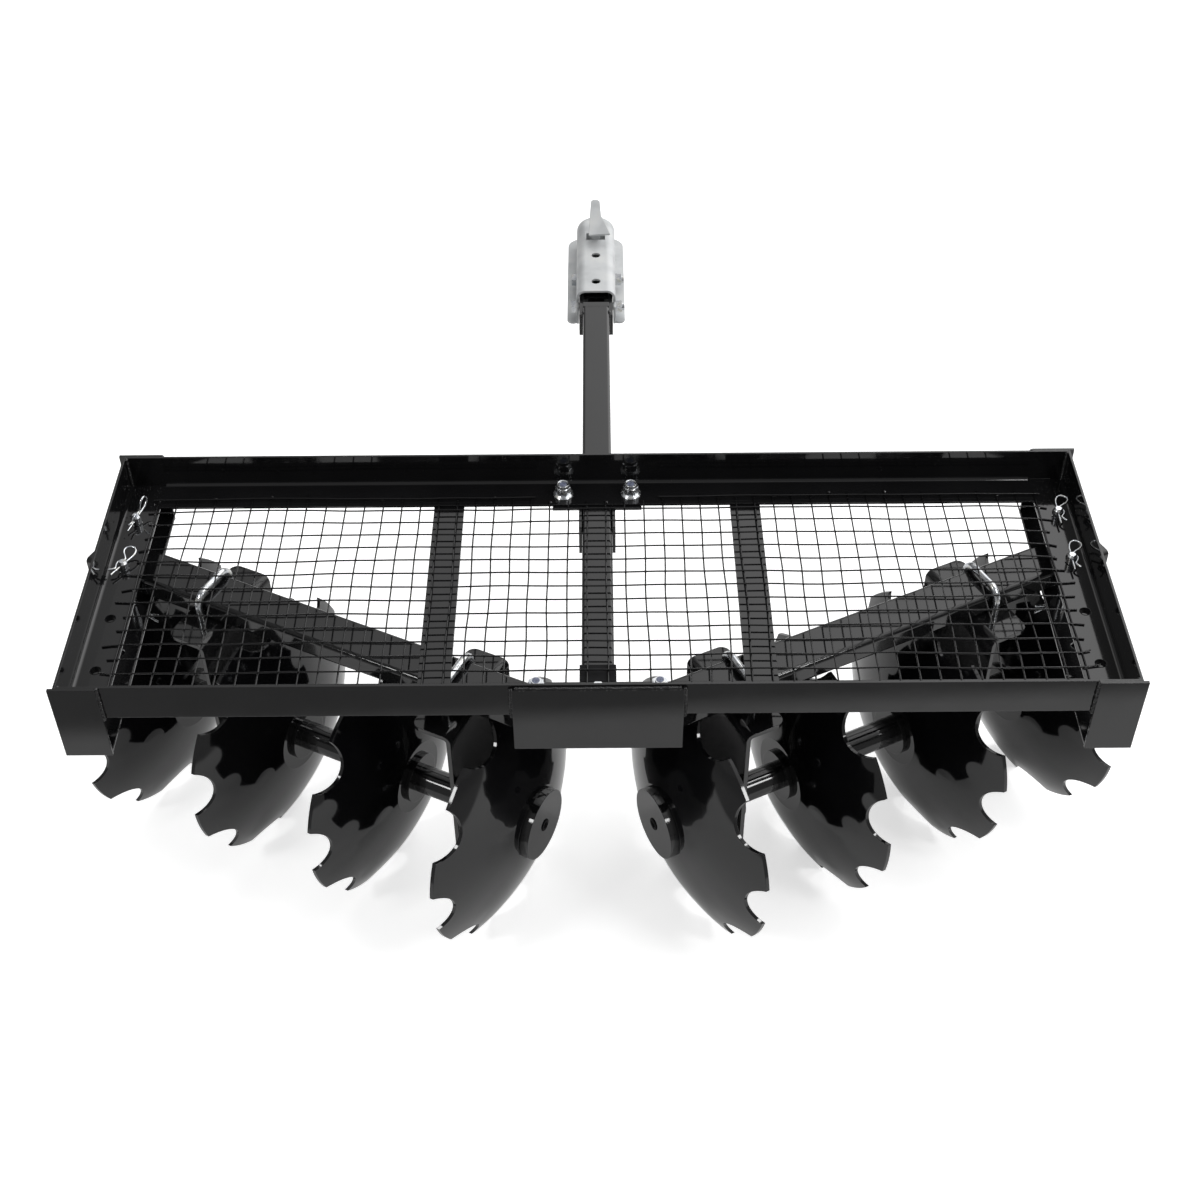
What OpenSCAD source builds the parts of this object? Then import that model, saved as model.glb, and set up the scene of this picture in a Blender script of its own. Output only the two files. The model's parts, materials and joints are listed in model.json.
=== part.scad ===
// Tow-behind disc harrow: an angle-iron tray with a wire deck, a ball-coupler
// drawbar, and two gangs of notched discs set in a V under the tray.
// X runs across the machine, Y forward to the coupler, Z up from the ground.
// Distances along the machine are taken from the tray's rear face (rear_y).

/* [Tray] */
// width of the tray over its side rails
tray_w = 1270; // [1150:5:1500]
// length of the tray from rear face to front face
tray_l = 430; // [410:5:520]
// leg of the angle iron that the rails are made of
angle_leg = 50; // [45:1:55]
// thickness of the angle iron
angle_t = 3; // [2.5:0.5:5]
// distance from the top edge of the tray down to the axles
axle_drop = 298; // [290:1:340]
// distance from the tray's top edge to the underside of the lower side rails
slot_depth = 110; // [108:1:114]
// width of the flat corner plates
corner_w = 56; // [54:1:70]
// thickness of the corner plates and the pivot channel
plate_t = 4; // [3:0.5:8]

/* [Wire deck] */
// spacing of the deck wires
wire_pitch = 25; // [20:1:40]
// diameter of the deck wires
wire_d = 2.2; // [1.8:0.1:3]
// width of the two flat straps under the deck
strap_w = 40; // [30:1:50]
// distance of each strap from the middle of the machine
strap_x = 198; // [190:1:230]

/* [Gangs] */
// distance of each gang pivot from the middle of the machine
pivot_x = 74; // [70:1:80]
// distance of the gang pivots from the rear face of the tray
pivot_y = 38; // [34:1:42]
// width of the gang beam tubes
beam_w = 56; // [50:1:60]
// height of the gang beam tubes
beam_h = 30; // [24:1:30]
// length of a gang beam beyond its pivot
beam_reach = 655; // [645:1:700]
// pitch of the lock-pin holes along the side rails
hole_pitch = 91; // [86:1:94]
// distance of the first lock-pin hole from the rear face
hole_first = 75; // [70:1:85]
// diameter of the lock pins
pin_d = 12; // [10:0.5:13]

/* [Discs] */
// diameter of a disc over its teeth
disc_d = 360; // [330:2:362]
// thickness of the disc steel
disc_t = 4; // [3:0.5:5]
// depth of the dish from hub to rim
dish = 50; // [40:1:54]
// number of notches in a disc rim
notches = 9; // [8:1:12]
// radius of one notch
notch_r = 38; // [30:1:42]
// depth of a notch in from the rim
notch_depth = 26; // [18:1:30]
// spacing of the discs along an axle
disc_pitch = 178; // [174:1:182]
// diameter of the spools between the discs
spool_d = 38; // [34:1:42]
// diameter of the axle bolt through the spools
axle_d = 22; // [18:1:25]
// diameter of the flat hub of a disc
hub_d = 100; // [90:1:110]
// diameter of the inner end washers
washer_d = 96; // [80:1:110]

/* [Hangers] */
// distance of the inner hanger from the pivot, along the beam
hanger_s = 80; // [78:1:86]
// width of a hanger plate across the beam
hanger_w = 150; // [120:1:156]
// length of the hanger's foot along the beam
hanger_foot = 55; // [50:1:60]
// thickness of the hanger plate
hanger_t = 6; // [5:0.5:10]
// diameter of the U-bolt rod
ubolt_d = 10; // [8:0.5:11]

/* [Drawbar and coupler] */
// side of the square drawbar tube
bar_w = 40; // [36:1:42]
// distance from the tray's rear face to the front end of the drawbar
bar_end = 855; // [700:5:1100]
// width of the coupler over its side walls
coupler_w = 61; // [58:1:66]
// length of the coupler from its rear edge to its nose
coupler_l = 227; // [210:1:260]
// diameter of the hitch ball that the coupler takes
ball_d = 50; // [47:1:51]

/* [Hidden] */
$fn = 64;
black = [0.06, 0.06, 0.065];
black_soft = [0.12, 0.12, 0.125];
zinc = [0.78, 0.79, 0.8];
galvanised = [0.70, 0.72, 0.73];
wire_grey = [0.16, 0.16, 0.17];

disc_r = disc_d / 2;
axle_z = disc_r;
top_z = axle_z + axle_drop;
shelf_z = top_z - angle_leg;
deck_z = shelf_z + angle_t;
coupler_rear = bar_end + 35;
coupler_tip = coupler_rear + coupler_l;

side_x = tray_w / 2;
shelf_x = side_x - angle_leg;
plate_out = side_x + 6;

strap_t = 4;
strap_z = shelf_z - strap_t;
beam_corner = 6;
ubolt_bend = 1.8 * ubolt_d;
ubolt_in = ubolt_bend - ubolt_d / 2;
corner_run = ubolt_in - beam_corner - 0.5;
corner_drop = sqrt(pow(corner_run + 0.4, 2) - pow(corner_run, 2));
crown_rise = ceil(10 * (ubolt_in - beam_corner - corner_drop)) / 10;
beam_top = strap_z - ubolt_d - crown_rise - 1;
beam_z = beam_top - beam_h;
beam_wall = 3.5;
beam_tail = 26;
lower_z = top_z - slot_depth;

washer_t = 12;
hub_s = washer_t - 4;

pin_x = side_x - (angle_leg + angle_t) / 2 + 1;
pin_gap_mid = hole_first + 2.5 * hole_pitch;
gang_angle = atan2(pin_gap_mid - pivot_y, pin_x - pivot_x);
rim_reach = disc_r * cos(gang_angle) - (hub_s + dish) * sin(gang_angle) - pivot_y;
rear_y = (rim_reach - coupler_tip) / 2;
front_y = rear_y + tray_l;

// turn of each disc on its axle from a tooth at the foot, inner disc first
left_turns = [-25, 6.5, 0.5, 10.5];
right_turns = [-28, -7.5, 12.5, 3.5];

last_hub_s = hub_s + 3 * disc_pitch;
spool_gap = 0.05;
spool_flange_d = 1.8 * spool_d;
spool_flange_t = 6;
outer_hanger_s = hanger_s + 2 * disc_pitch + 5;
hanger_z = beam_z - hanger_t;
bearing_t = 28;
bearing_flange_d = 2.7 * spool_d;
bearing_flange_t = hanger_t;
bearing_d = 1.8 * spool_d;
axle_gap = 0.2;

dish_zc = (disc_r * disc_r + dish * dish - hub_d * hub_d / 4) / (2 * dish);
dish_r = sqrt(hub_d * hub_d / 4 + dish_zc * dish_zc);

channel_w = 202;
channel_bottom = beam_z - 2 - plate_t;
channel_h = top_z - 5 - channel_bottom;
pivot_d = 12;
pivot_hex = 1.733 * pivot_d;
pivot_washer_d = 2.2 * pivot_d;

bar_top = shelf_z;
bar_z = bar_top - bar_w;
bar_wall = 3;
bar_rear = 12;
saddle_t = 4;
cheek_t = 6;
cheek_foot = 4;
cheek_drop = 7;
sheet = 3.5;
shell_r = 14;
coupler_top = bar_top + sheet + 1.5;
coupler_h = 50;
coupler_low = coupler_top - coupler_h;
nose_y = coupler_tip - coupler_w / 2;
inner_w = coupler_w - 2 * sheet;
lip_w = 1.48 * coupler_w;
lip_r = 26;
ear_l = 16;
ear_h = 30;
bolt_d = 12;
bolt_hex = 1.733 * bolt_d;
bolt_pitch = 76;
bolt_y = [coupler_rear + 2, coupler_rear + 2 + bolt_pitch];
bolt_z = bar_z + 15;
cheek_rear = bar_end - 13;
cheek_front = bolt_y[1] + 1.5 * bolt_d;
socket_r = ball_d / 2 + 0.2;
socket_h = coupler_h - sheet - socket_r + 0.7;
cavity_front = nose_y - socket_r - sheet;
coupler_holes = [coupler_rear + 27, coupler_rear + 102];
coupler_hole_d = 14;
slot_w = 30;
slot_l = 20;
slot_y = cavity_front - slot_l;

// A piece of the right-hand gang: s runs out along the beam, n square to it.
module right_side() {
  translate([pivot_x, rear_y + pivot_y, 0]) rotate([0, 0, gang_angle]) children();
}

// The same piece on the left-hand gang.
module left_side() {
  mirror([1, 0, 0]) right_side() children();
}

module round_rect(w, h, r) {
  core_w = w - 2 * r;
  core_h = h - 2 * r;
  union() {
    square([w, core_h], center = true);
    square([core_w, h], center = true);
    for (sx = [-1, 1], sy = [-1, 1]) {
      translate([sx * core_w / 2, sy * core_h / 2]) circle(r = r);
    }
  }
}

// Angle-iron section: upright on the outside at u = 0, shelf inward at the foot.
module angle_section() {
  root = 5;
  difference() {
    union() {
      square([angle_leg, angle_t]);
      square([angle_t, angle_leg]);
      translate([angle_t, angle_t]) square(root);
    }
    translate([angle_t + root, angle_t + root]) circle(r = root);
  }
}

// Tray rails

module cross_rail() {
  translate([-shelf_x, 0, shelf_z]) {
    rotate([90, 0, 90]) linear_extrude(2 * shelf_x) angle_section();
  }
  for (sx = [-1, 1]) {
    translate([sx * (shelf_x + side_x - angle_t) / 2, angle_t / 2, (deck_z + top_z) / 2]) {
      cube([angle_leg - angle_t, angle_t, angle_leg - angle_t], center = true);
    }
  }
}

module rear_rail() {
  color(black) difference() {
    translate([0, rear_y, 0]) cross_rail();
    for (sx = [-1, 1]) translate([sx * pivot_x, rear_y + pivot_y, shelf_z - 1]) {
      cylinder(d = pivot_d + 0.4, h = angle_t + 2);
    }
    translate([0, rear_y + pivot_y, shelf_z - 1]) cylinder(d = 8.4, h = angle_t + 2);
  }
}

module front_rail() {
  color(black) difference() {
    translate([0, front_y, 0]) mirror([0, 1, 0]) cross_rail();
    for (sx = [-1, 1]) translate([sx * saddle_bolt_x, saddle_bolt_y, shelf_z - 1]) {
      cylinder(d = bolt_d + 0.4, h = angle_t + 2);
    }
  }
}

module pin_holes() {
  for (i = [0 : 3]) {
    translate([pin_x, rear_y + hole_first + i * hole_pitch, lower_z - 1]) {
      cylinder(d = pin_d + 2, h = angle_leg + slot_depth);
    }
  }
}

module side_rail() {
  difference() {
    translate([side_x, front_y, shelf_z]) {
      rotate([90, 0, 0]) mirror([1, 0, 0]) linear_extrude(tray_l) angle_section();
    }
    for (y = [rear_y - 1, front_y - angle_t]) {
      translate([shelf_x - 1, y, deck_z]) cube([angle_leg - angle_t + 1, angle_t + 1, angle_leg]);
    }
    pin_holes();
  }
}

module right_rail() {
  color(black) side_rail();
}

module left_rail() {
  color(black) mirror([1, 0, 0]) side_rail();
}

module lower_rail() {
  difference() {
    translate([plate_out - corner_w, rear_y, lower_z]) cube([corner_w, tray_l, angle_t]);
    pin_holes();
  }
}

module right_lower_rail() {
  color(black) lower_rail();
}

module left_lower_rail() {
  color(black) mirror([1, 0, 0]) lower_rail();
}

module corner_plate() {
  translate([plate_out - corner_w, 0, lower_z - 2]) cube([corner_w, plate_t, slot_depth + 2]);
}

module rear_corner_plates() {
  color(black) translate([0, rear_y - plate_t, 0]) {
    corner_plate();
    mirror([1, 0, 0]) corner_plate();
  }
}

module front_corner_plates() {
  color(black) translate([0, front_y, 0]) {
    corner_plate();
    mirror([1, 0, 0]) corner_plate();
  }
}

// Channel behind the rear rail that carries the gang pivots
module pivot_channel() {
  color(black) difference() {
    union() {
      translate([-channel_w / 2, rear_y - plate_t, channel_bottom]) {
        cube([channel_w, plate_t, channel_h]);
      }
      translate([-channel_w / 2, rear_y - plate_t, channel_bottom]) {
        cube([channel_w, plate_t + pivot_y + 26, plate_t]);
      }
    }
    for (sx = [-1, 1]) translate([sx * pivot_x, rear_y + pivot_y, channel_bottom - 1]) {
      cylinder(d = pivot_d + 0.4, h = plate_t + 2);
    }
  }
}

// Wire deck

module deck_straps() {
  color(black_soft) for (sx = [-1, 1]) {
    translate([sx * strap_x - strap_w / 2, rear_y + angle_t + 5, strap_z]) {
      cube([strap_w, tray_l - 2 * angle_t - 10, strap_t]);
    }
  }
}

deck_x = shelf_x + 12;
deck_rear = 22;
deck_front = tray_l - angle_leg + 6;
cross_first = angle_leg + 17;
long_count = floor((deck_x - wire_d) / wire_pitch - 0.5);
cross_count = floor((tray_l - 2 * angle_leg - 20) / wire_pitch);

module deck_long_wires() {
  color(wire_grey) for (i = [-long_count - 1 : long_count]) {
    translate([(i + 0.5) * wire_pitch, rear_y + deck_rear, deck_z + wire_d / 2]) {
      rotate([-90, 0, 0]) cylinder(d = wire_d, h = deck_front - deck_rear, $fn = 16);
    }
  }
}

module deck_cross_wires() {
  color(wire_grey) for (i = [0 : cross_count]) {
    translate([-deck_x, rear_y + cross_first + i * wire_pitch, deck_z + 1.5 * wire_d + 0.02]) {
      rotate([0, 90, 0]) cylinder(d = wire_d, h = 2 * deck_x, $fn = 16);
    }
  }
}

// Drawbar

module drawbar() {
  color(black_soft) difference() {
    translate([0, rear_y + bar_end, bar_z + bar_w / 2]) rotate([90, 0, 0]) {
      linear_extrude(bar_end - bar_rear) difference() {
        round_rect(bar_w, bar_w, 4);
        round_rect(bar_w - 2 * bar_wall, bar_w - 2 * bar_wall, 1.5);
      }
    }
    translate([0, rear_y + pivot_y, bar_z - 1]) cylinder(d = 8.4, h = bar_w + 2);
  }
}

saddle_w = 119;
saddle_l = 52;
saddle_cheek_l = 92;
saddle_bolt_x = (saddle_w + bar_w + 23) / 4;
saddle_bolt_y = front_y - angle_t - saddle_l / 2 + 1;

// Hat-shaped saddle that hangs the drawbar under the front rail
module drawbar_front_saddle() {
  cheek_in = bar_w / 2 + 0.3;
  color(black) difference() {
    translate([0, front_y - angle_t, 0]) {
      for (sx = [-1, 1]) {
        translate([sx * (cheek_in + saddle_w / 2) / 2, 1 - saddle_l / 2, shelf_z - saddle_t / 2]) {
          cube([saddle_w / 2 - cheek_in, saddle_l, saddle_t], center = true);
        }
        translate([sx * (cheek_in + saddle_t / 2), 0, 0]) {
          translate([-saddle_t / 2, -saddle_cheek_l, bar_z - saddle_t]) {
            cube([saddle_t, saddle_cheek_l + 1, bar_w + saddle_t]);
          }
        }
      }
      translate([-cheek_in - saddle_t, -saddle_cheek_l, bar_z - saddle_t]) {
        cube([2 * (cheek_in + saddle_t), saddle_cheek_l + 1, saddle_t]);
      }
    }
    for (sx = [-1, 1]) translate([sx * saddle_bolt_x, saddle_bolt_y, shelf_z - saddle_t - 1]) {
      cylinder(d = bolt_d + 0.4, h = saddle_t + 2);
    }
  }
}

// Strap that clasps the tail of the drawbar ahead of the rear rail
module drawbar_rear_saddle() {
  cheek_in = bar_w / 2 + 0.3;
  len = 28;
  color(black) translate([0, rear_y + angle_leg + 2, 0]) {
    translate([-cheek_in - 2, 0, bar_top]) cube([2 * cheek_in + 4, len, 2]);
    for (sx = [-1, 1]) {
      translate([sx * (cheek_in + 1) - 1, 0, channel_bottom + plate_t]) {
        cube([2, len, bar_top + 2 - channel_bottom - plate_t]);
      }
    }
  }
}

// A nut with a round washer flange, standing on z = 0
module flange_nut(bore, across, high, flange) {
  difference() {
    union() {
      cylinder(d = flange, h = 2.2);
      cylinder(d = across * 1.1547, h = high, $fn = 6);
    }
    translate([0, 0, -1]) cylinder(d = bore, h = high + 2);
  }
}

module saddle_bolts() {
  color(zinc) {
    for (sx = [-1, 1]) translate([sx * saddle_bolt_x, saddle_bolt_y, 0]) {
      translate([0, 0, shelf_z - saddle_t - 8]) cylinder(d = bolt_hex, h = 8, $fn = 6);
      translate([0, 0, shelf_z - saddle_t - 1]) cylinder(d = bolt_d, h = saddle_t + angle_t + 18);
      translate([0, 0, deck_z]) flange_nut(bolt_d, 18, 13, 26);
    }
    translate([0, rear_y + pivot_y, 0]) {
      translate([0, 0, bar_z - 6]) cylinder(d = 15, h = 6, $fn = 6);
      translate([0, 0, bar_z - 1]) cylinder(d = 8, h = bar_w + angle_t + 4);
      translate([0, 0, deck_z]) cylinder(d = 15, h = 6.5, $fn = 6);
    }
  }
}

// Coupler

// Black bracket: a cheek each side of the drawbar, joined by a foot plate and a crossbar
module coupler_cheeks() {
  cheek_x = bar_w / 2;
  cheek_l = cheek_front - cheek_rear;
  color(black) difference() {
    union() {
      for (sx = [-1, 1]) {
        translate([sx * (cheek_x + cheek_t / 2) - cheek_t / 2, rear_y + cheek_rear, bar_z - cheek_foot]) {
          cube([cheek_t, cheek_l, bar_w + cheek_foot - cheek_drop]);
        }
      }
      translate([-cheek_x, rear_y + cheek_rear, bar_z - cheek_foot]) cube([bar_w, cheek_l, cheek_foot]);
      translate([-cheek_x, rear_y + bar_end, bar_top - 12]) cube([bar_w, 12, 12]);
    }
    for (y = bolt_y) translate([-coupler_w, rear_y + y, bolt_z]) {
      rotate([0, 90, 0]) cylinder(d = bolt_d + 0.4, h = 2 * coupler_w);
    }
  }
}

// Section of the shell: flat foot and rounded top corners
module shell_section(w, h, r) {
  union() {
    translate([-w / 2, 0]) square([w, h - r]);
    translate([r - w / 2, 0]) square([w - 2 * r, h]);
    for (sx = [-1, 1]) translate([sx * (w / 2 - r), h - r]) circle(r = r);
  }
}

// Foot lip: a strip along each side with a round ear at the back, joined round the nose
module lip_plan() {
  strip = (lip_w - inner_w) / 2;
  ear_r = strip / 2;
  lip_rear = coupler_rear - ear_l;
  union() {
    for (sx = [-1, 1]) {
      translate([sx * (lip_w - strip) / 2 - ear_r, lip_rear + ear_r]) {
        square([strip, coupler_tip - lip_r - lip_rear - ear_r]);
      }
      translate([sx * (lip_w / 2 - ear_r), lip_rear + ear_r]) circle(r = ear_r);
      translate([sx * (lip_w / 2 - lip_r), coupler_tip - lip_r]) circle(r = lip_r);
    }
    translate([lip_r - lip_w / 2, cavity_front]) square([lip_w - 2 * lip_r, coupler_tip - cavity_front]);
  }
}

// Pressed-steel shell: a round-nosed, round-shouldered channel with a foot lip,
// a slot for the latch and a round socket for the hitch ball in the nose
module coupler_body() {
  shell_rear = coupler_rear - ear_l;
  color(galvanised) translate([0, rear_y, 0]) difference() {
    union() {
      translate([0, nose_y, coupler_low]) {
        rotate([90, 0, 0]) linear_extrude(nose_y - shell_rear) {
          shell_section(coupler_w, coupler_h, shell_r);
        }
        rotate_extrude() intersection() {
          shell_section(coupler_w, coupler_h, shell_r);
          square(coupler_w);
        }
      }
      translate([0, 0, coupler_low]) linear_extrude(sheet) lip_plan();
    }
    translate([0, cavity_front, coupler_low - 1]) rotate([90, 0, 0]) {
      linear_extrude(cavity_front - shell_rear + 1) {
        shell_section(inner_w, coupler_h + 1 - sheet, shell_r - sheet);
      }
    }
    translate([-coupler_w, shell_rear - 1, coupler_low + ear_h]) {
      cube([2 * coupler_w, ear_l + 1, coupler_h]);
    }
    translate([0, nose_y, coupler_low - 1]) cylinder(r = socket_r, h = socket_h + 1);
    translate([0, nose_y, coupler_low + socket_h]) sphere(r = socket_r);
    translate([-slot_w / 2, slot_y, coupler_top - sheet - 1]) cube([slot_w, slot_l, sheet + 2]);
    for (y = coupler_holes) {
      translate([0, y, coupler_top - sheet - 1]) cylinder(d = coupler_hole_d, h = sheet + 2);
    }
    for (y = bolt_y) translate([-coupler_w, y, bolt_z]) {
      rotate([0, 90, 0]) cylinder(d = bolt_d + 0.4, h = 2 * coupler_w);
    }
  }
}

// Ball latch: a lever over the nose, a web through the slot and a cross pin in the shell
module coupler_latch() {
  lever_t = 4;
  lever_rise = 13;
  lever_tilt = 27.5;
  web_t = 14;
  pin_drop = shell_r + 7;
  pin_y = slot_y + slot_l / 2;
  web_low = -pin_drop - 6;
  lever_y = slot_y - 11;
  web_y = [slot_y + 3, slot_y + slot_l - 3];
  web_top = [for (y = web_y) lever_rise + (y - lever_y) * tan(lever_tilt) + 1];
  color(galvanised) translate([0, rear_y, coupler_top]) union() {
    translate([0, lever_y, lever_rise]) rotate([lever_tilt, 0, 0]) linear_extrude(lever_t) {
      polygon([[-11, 0], [23, 2], [9, 36], [7, 62], [4, 65], [-4, 65], [-7, 62], [-9, 36]]);
    }
    translate([-web_t / 2, 0, 0]) rotate([90, 0, 90]) linear_extrude(web_t) {
      polygon([
        [web_y[0], web_low], [web_y[1], web_low], [web_y[1], web_top[1]], [web_y[0], web_top[0]]
      ]);
    }
    translate([-inner_w / 2, pin_y, -pin_drop]) rotate([0, 90, 0]) cylinder(d = 7, h = inner_w);
  }
}

module coupler_bolts() {
  half = coupler_w / 2;
  color(zinc) for (y = bolt_y) translate([0, rear_y + y, bolt_z]) rotate([0, 90, 0]) {
    translate([0, 0, -half - 8]) cylinder(d = bolt_d, h = 2 * half + 22);
    translate([0, 0, -half - 8]) cylinder(d = bolt_hex, h = 8, $fn = 6);
    translate([0, 0, half]) cylinder(d = bolt_hex, h = 10, $fn = 6);
  }
}

// Gang beams and their pivots

module gang_beam() {
  difference() {
    translate([-beam_tail, 0, beam_z + beam_h / 2]) rotate([90, 0, 90]) {
      linear_extrude(beam_reach + beam_tail) difference() {
        round_rect(beam_w, beam_h, beam_corner);
        round_rect(beam_w - 2 * beam_wall, beam_h - 2 * beam_wall, beam_corner - beam_wall);
      }
    }
    translate([0, 0, beam_z - 1]) cylinder(d = pivot_d + 0.4, h = beam_h + 2);
  }
}

module left_gang_beam() {
  color(black_soft) left_side() gang_beam();
}

module right_gang_beam() {
  color(black_soft) right_side() gang_beam();
}

module pivot_bolts() {
  color(zinc) for (sx = [-1, 1]) translate([sx * pivot_x, rear_y + pivot_y, 0]) {
    translate([0, 0, channel_bottom - 7]) cylinder(d = pivot_hex, h = 7, $fn = 6);
    translate([0, 0, channel_bottom - 1]) {
      cylinder(d = pivot_d, h = deck_z + 16 - channel_bottom + 1);
    }
    translate([0, 0, deck_z]) rotate([0, 0, 30]) cylinder(d = pivot_hex, h = 12, $fn = 6);
    translate([0, 0, beam_top]) cylinder(d = pivot_washer_d, h = shelf_z - beam_top);
    translate([0, 0, channel_bottom + plate_t]) {
      cylinder(d = pivot_washer_d, h = beam_z - channel_bottom - plate_t);
    }
  }
}

pin_tail = 16;
pin_washer_t = 3;

module lock_pins() {
  color(zinc) for (sx = [-1, 1], i = [2, 3]) {
    translate([sx * pin_x, rear_y + hole_first + i * hole_pitch, 0]) {
      translate([0, 0, lower_z - pin_washer_t]) cylinder(d = 2 * pin_d, h = pin_washer_t);
      translate([0, 0, lower_z - pin_tail]) cylinder(d = pin_d, h = deck_z + 12 - lower_z + pin_tail);
      translate([0, 0, deck_z + 12]) cylinder(d1 = pin_d, d2 = pin_d - 4, h = 3);
    }
  }
}

// Hangers: a bent plate clamped under the beam that drops to the axle

module hanger(s) {
  bend = hanger_t + 4;
  foot_r = 12;
  low = axle_z - 58;
  side_cut = hanger_w / 2 - 58;
  difference() {
    intersection() {
      translate([s, hanger_w / 2, 0]) rotate([90, 0, 0]) linear_extrude(hanger_w) difference() {
        union() {
          translate([0, low]) square([hanger_t, hanger_z + hanger_t - low - bend]);
          translate([bend, hanger_z]) square([hanger_foot - bend, hanger_t]);
          translate([bend, hanger_z + hanger_t - bend]) intersection() {
            difference() {
              circle(r = bend);
              circle(r = bend - hanger_t);
            }
            translate([-bend, 0]) square(bend);
          }
        }
      }
      union() {
        translate([s - 1, 0, 0]) rotate([90, 0, 90]) linear_extrude(hanger_t + bend) {
          polygon([
            [-hanger_w / 2, hanger_z + hanger_t], [hanger_w / 2, hanger_z + hanger_t],
            [hanger_w / 2, axle_z - 10], [hanger_w / 2 - side_cut - 30, low],
            [-hanger_w / 2 + side_cut + 30, low], [-hanger_w / 2, axle_z - 10]
          ]);
        }
        translate([s + hanger_foot / 2, 0, hanger_z - 1]) linear_extrude(hanger_t + 2) {
          round_rect(hanger_foot, hanger_w, foot_r);
        }
      }
    }
    translate([s - 1, 0, axle_z]) rotate([0, 90, 0]) cylinder(d = spool_d + 14, h = hanger_t + 2);
    for (sn = [-1, 1]) translate([ubolt_s(s), sn * ubolt_n, hanger_z - 1]) {
      cylinder(d = ubolt_d + 1, h = hanger_t + 2);
    }
  }
}

function ubolt_s(s) = s + hanger_foot / 2 + 3;
ubolt_n = beam_w / 2 + ubolt_d / 2 + 0.5;

module left_inner_hanger() {
  color(black) left_side() hanger(hanger_s);
}

module left_outer_hanger() {
  color(black) left_side() hanger(outer_hanger_s);
}

module right_inner_hanger() {
  color(black) right_side() hanger(hanger_s);
}

module right_outer_hanger() {
  color(black) right_side() hanger(outer_hanger_s);
}

module u_bolt(s) {
  bend = ubolt_bend;
  crown = beam_top + crown_rise + ubolt_d / 2;
  low = hanger_z - 22;
  translate([ubolt_s(s), 0, 0]) {
    translate([0, -ubolt_n + bend, crown]) {
      rotate([-90, 0, 0]) cylinder(d = ubolt_d, h = 2 * (ubolt_n - bend));
    }
    for (sn = [0, 1]) rotate([0, 0, 180 * sn]) {
      translate([0, ubolt_n, low]) cylinder(d = ubolt_d, h = crown - bend - low);
      translate([0, ubolt_n - bend, crown - bend]) rotate([90, 0, 90]) {
        rotate_extrude(angle = 90) translate([bend, 0]) circle(d = ubolt_d);
      }
      translate([0, ubolt_n, hanger_z - 9]) cylinder(d = 18.5, h = 9, $fn = 6);
    }
  }
}

module left_u_bolts() {
  color(zinc) left_side() {
    u_bolt(hanger_s);
    u_bolt(outer_hanger_s);
  }
}

module right_u_bolts() {
  color(zinc) right_side() {
    u_bolt(hanger_s);
    u_bolt(outer_hanger_s);
  }
}

// Flanged bearing housing on the outer face of a hanger
module bearing(s) {
  translate([s + hanger_t, 0, axle_z]) rotate([0, 90, 0]) difference() {
    union() {
      cylinder(d = bearing_flange_d, h = bearing_flange_t);
      cylinder(d = bearing_d, h = bearing_t);
    }
    translate([0, 0, -1]) cylinder(d = spool_d + 2 * spool_gap, h = bearing_t + 2);
  }
}

module left_bearings() {
  color(black) left_side() {
    bearing(hanger_s);
    bearing(outer_hanger_s);
  }
}

module right_bearings() {
  color(black) right_side() {
    bearing(hanger_s);
    bearing(outer_hanger_s);
  }
}

// Turning gang: axle bolt, spools, end washers and discs

module on_axle(s) {
  translate([s, 0, axle_z]) rotate([0, 90, 0]) children();
}

module axle() {
  head = 14;
  on_axle(-4) difference() {
    union() {
      cylinder(d = head - 0.4, h = 8);
      translate([0, 0, 6]) cylinder(d = axle_d, h = last_hub_s + 34);
    }
    translate([0, 0, -1]) cylinder(d = 9, h = 5, $fn = 6);
  }
  on_axle(last_hub_s + disc_t + 8) cylinder(d = axle_d * 1.75, h = 18, $fn = 6);
}

module spools() {
  spool_l = disc_pitch - disc_t;
  for (i = [0 : 2]) on_axle(hub_s + disc_t + i * disc_pitch) difference() {
    union() {
      cylinder(d = spool_d, h = spool_l);
      cylinder(d = spool_flange_d, h = spool_flange_t);
      translate([0, 0, spool_l - spool_flange_t]) cylinder(d = spool_flange_d, h = spool_flange_t);
    }
    translate([0, 0, -1]) cylinder(d = axle_d + 2 * axle_gap, h = disc_pitch);
  }
}

module end_washers() {
  on_axle(-4) difference() {
    cylinder(d = washer_d, h = washer_t);
    translate([0, 0, -1]) cylinder(d = 14, h = 8);
    translate([0, 0, 6 - axle_gap]) cylinder(d = axle_d + 2 * axle_gap, h = washer_t);
  }
  on_axle(last_hub_s + disc_t) difference() {
    cylinder(d = 70, h = 8);
    translate([0, 0, -1]) cylinder(d = axle_d + 2 * axle_gap, h = 10);
  }
}

// One dished disc with round notches, turned on the axle from a tooth at the foot
module disc(i, turn) {
  on_axle(hub_s + i * disc_pitch) rotate([0, 0, turn]) difference() {
    rotate_extrude($fn = 128) {
      translate([axle_d / 2 + axle_gap, 0]) square([hub_d / 2 - axle_d / 2 + 1, disc_t]);
      intersection() {
        translate([0, dish_zc]) difference() {
          circle(r = dish_r, $fn = 256);
          circle(r = dish_r - disc_t, $fn = 256);
        }
        translate([hub_d / 2, 0]) square([disc_r - hub_d / 2, dish + 2 * disc_t]);
      }
    }
    for (k = [0 : notches - 1]) rotate([0, 0, (k + 0.5) * 360 / notches]) {
      translate([disc_r + notch_r - notch_depth, 0, -1]) cylinder(r = notch_r, h = dish + 3 * disc_t);
    }
  }
}

module left_axle() {
  color(black) left_side() axle();
}

module left_spools() {
  color(black) left_side() spools();
}

module left_end_washers() {
  color(black) left_side() end_washers();
}

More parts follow.
